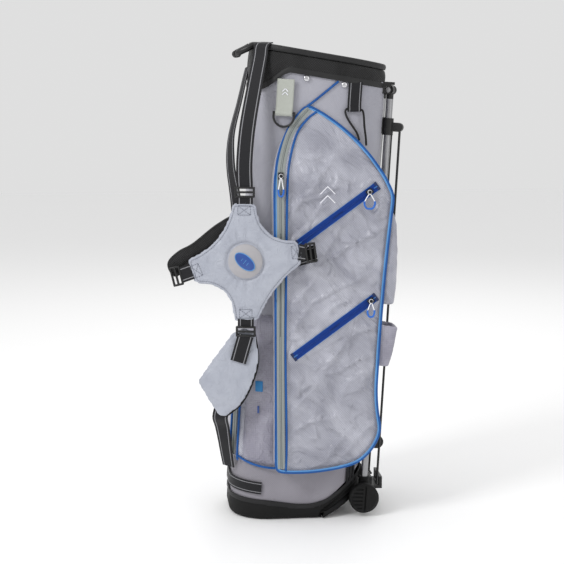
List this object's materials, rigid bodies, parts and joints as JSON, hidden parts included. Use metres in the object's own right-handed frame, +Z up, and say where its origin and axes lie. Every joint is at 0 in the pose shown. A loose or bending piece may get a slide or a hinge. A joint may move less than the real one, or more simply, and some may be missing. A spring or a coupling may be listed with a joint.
{
  "type": "golf stand bag",
  "caption": "Lightweight golf stand bag with an oval fabric body, folding aluminium legs worked by a flip-up toe, zipped pockets and a star-padded dual-strap harness.",
  "frame": {"origin": "middle of the flat sole, on the floor the bag stands on", "axes": "+Z up, +X from the spine (strap side) to the belly (leg side), -Y towards the side with the big pocket"},
  "size_m": [0.423, 0.2837, 0.8526],
  "materials": {
    "grey_fabric": "satin nylon weave",
    "grey_pad": "padded nylon",
    "black_fabric": "knitted mesh",
    "panel_fabric": "brushed lining",
    "webbing": "woven tape",
    "grey_webbing": "woven tape",
    "zip_tape": "woven tape",
    "grey_zip": "woven tape",
    "blue_piping": "gloss",
    "boot_rubber": "matt",
    "black_plastic": "satin",
    "inner_plastic": "satin",
    "leg_aluminium": "satin anodised",
    "pin_steel": "brushed",
    "rod_steel": "black powder coat",
    "foot_rubber": "matt",
    "pull_white": "gloss",
    "slider_metal": "painted",
    "stud_metal": "polished",
    "elastic": "woven cover",
    "badge_plastic": "gloss"
  },
  "bodies": {
    "root": {"base_cup": "boot_rubber", "bottom_frame": "inner_plastic", "toe_gusset": "boot_rubber", "body_shell": "grey_fabric", "spine_stay": "inner_plastic", "side_stays": "leg_aluminium", "top_collar": "inner_plastic", "collar_padding": "black_fabric", "rim_binding": "webbing", "top_divider": "black_plastic", "divider_long": "panel_fabric", "divider_cross": "panel_fabric", "lift_handle": "black_plastic", "leg_bracket": "black_plastic", "leg_pins": "pin_steel", "leg_clip": "black_plastic", "main_pocket": "grey_fabric", "side_pocket": "grey_fabric", "bottle_pocket": "grey_fabric", "far_pocket": "grey_fabric", "ball_pocket": "grey_fabric", "accessory_pocket": "grey_fabric", "pocket_piping": "blue_piping", "side_zip_tape": "grey_zip", "upper_zip_tape": "zip_tape", "lower_zip_tape": "zip_tape", "ball_zip_tape": "grey_zip", "ring_tab": "grey_webbing", "umbrella_tab": "webbing", "umbrella_cord": "elastic", "snap_studs": "stud_metal", "base_webbing": "webbing", "harness_pad": "grey_pad", "harness_badge": "badge_plastic", "strap_left": "black_fabric", "strap_right": "grey_pad", "harness_webbing": "webbing", "ladder_buckles": "black_plastic"},
    "toe": {"toe_plate": "boot_rubber", "rod_bracket": "black_plastic"},
    "near_leg_body": {"near_hinge": "black_plastic", "near_leg": "leg_aluminium", "near_clamp": "black_plastic", "near_foot": "foot_rubber"},
    "far_leg_body": {"far_hinge": "black_plastic", "far_leg": "leg_aluminium", "far_clamp": "black_plastic", "far_foot": "foot_rubber"},
    "near_rod_body": {"near_rod": "rod_steel"},
    "far_rod_body": {"far_rod": "rod_steel"},
    "ring_body": {"d_ring": "black_plastic"},
    "upper_slider_body": {"upper_slider": "slider_metal"},
    "upper_pull_body": {"upper_pull": "pull_white"},
    "lower_slider_body": {"lower_slider": "slider_metal"},
    "lower_pull_body": {"lower_pull": "pull_white"},
    "side_slider_body": {"side_slider": "slider_metal"},
    "side_pull_body": {"side_pull": "pull_white"},
    "ball_slider_body": {"ball_slider": "slider_metal"},
    "ball_pull_body": {"ball_pull": "pull_white"}
  },
  "joints": [
    {"name": "near_leg_swing", "type": "hinge", "parent": "root", "child": "near_leg_body", "pos_m": [0.16921, -0.036, 0.7681], "axis": [-0.4531, -0.891, 0.0277], "range_deg": [0, 32], "stiffness_Nm_per_rad": 1.2, "springref_deg": -8.59},
    {"name": "far_leg_swing", "type": "hinge", "parent": "root", "child": "far_leg_body", "pos_m": [0.16921, 0.036, 0.7681], "axis": [0.4531, -0.891, -0.0277], "range_deg": [0, 32]},
    {"name": "near_rod_tilt", "type": "hinge", "parent": "near_leg_body", "child": "near_rod_body", "pos_m": [0.18662, -0.03998, 0.70196], "axis": [-0.4531, -0.891, 0.0277], "range_deg": [-36.3, 0]},
    {"name": "far_rod_tilt", "type": "hinge", "parent": "far_leg_body", "child": "far_rod_body", "pos_m": [0.18662, 0.03998, 0.70196], "axis": [0.4531, -0.891, -0.0277], "range_deg": [-36.3, 0]},
    {"name": "toe_flip", "type": "hinge", "parent": "root", "child": "toe", "pos_m": [0.042, 0, 0], "axis": [0, -1, 0], "range_deg": [0, 12], "deforming": ["toe_gusset"]},
    {"name": "upper_zip_slide", "type": "slide", "parent": "root", "child": "upper_slider_body", "axis": [0.8095, 0, 0.5872], "range_m": [-0.08, 0]},
    {"name": "upper_pull_swing", "type": "hinge", "parent": "upper_slider_body", "child": "upper_pull_body", "pos_m": [0.11718, -0.1318, 0.59479], "axis": [0, -1, 0], "range_deg": [-60, 60]},
    {"name": "lower_zip_slide", "type": "slide", "parent": "root", "child": "lower_slider_body", "axis": [0.8095, 0, 0.5872], "range_m": [-0.15, 0]},
    {"name": "lower_pull_swing", "type": "hinge", "parent": "lower_slider_body", "child": "lower_pull_body", "pos_m": [0.12117, -0.1318, 0.404], "axis": [0, -1, 0], "range_deg": [-60, 60]},
    {"name": "side_zip_slide", "type": "slide", "parent": "root", "child": "side_slider_body", "axis": [-0.0018, 0, 1], "range_m": [-0.028, 0]},
    {"name": "side_pull_swing", "type": "hinge", "parent": "side_slider_body", "child": "side_pull_body", "pos_m": [-0.03701, -0.1318, 0.62342], "axis": [0, -1, 0], "range_deg": [-60, 60]},
    {"name": "ball_zip_slide", "type": "slide", "parent": "root", "child": "ball_slider_body", "axis": [0.061, 0, 0.9981], "range_m": [-0.09, 0]},
    {"name": "ball_pull_swing", "type": "hinge", "parent": "ball_slider_body", "child": "ball_pull_body", "pos_m": [-0.10847, -0.05692, 0.24207], "axis": [-0.8583, -0.5105, 0.0525], "range_deg": [-60, 60]},
    {"name": "ring_swing", "type": "hinge", "parent": "root", "child": "ring_body", "pos_m": [-0.02778, -0.09683, 0.73006], "axis": [-0.9641, 0.2588, 0.059], "range_deg": [0, 95]}
  ],
  "couplings": [
    {"joint": "far_leg_swing", "follows": "near_leg_swing", "ratio": 1},
    {"joint": "near_rod_tilt", "follows": "near_leg_swing", "ratio": -1.1281},
    {"joint": "far_rod_tilt", "follows": "near_leg_swing", "ratio": -1.1281},
    {"joint": "toe_flip", "follows": "near_leg_swing", "ratio": 0.375}
  ]
}
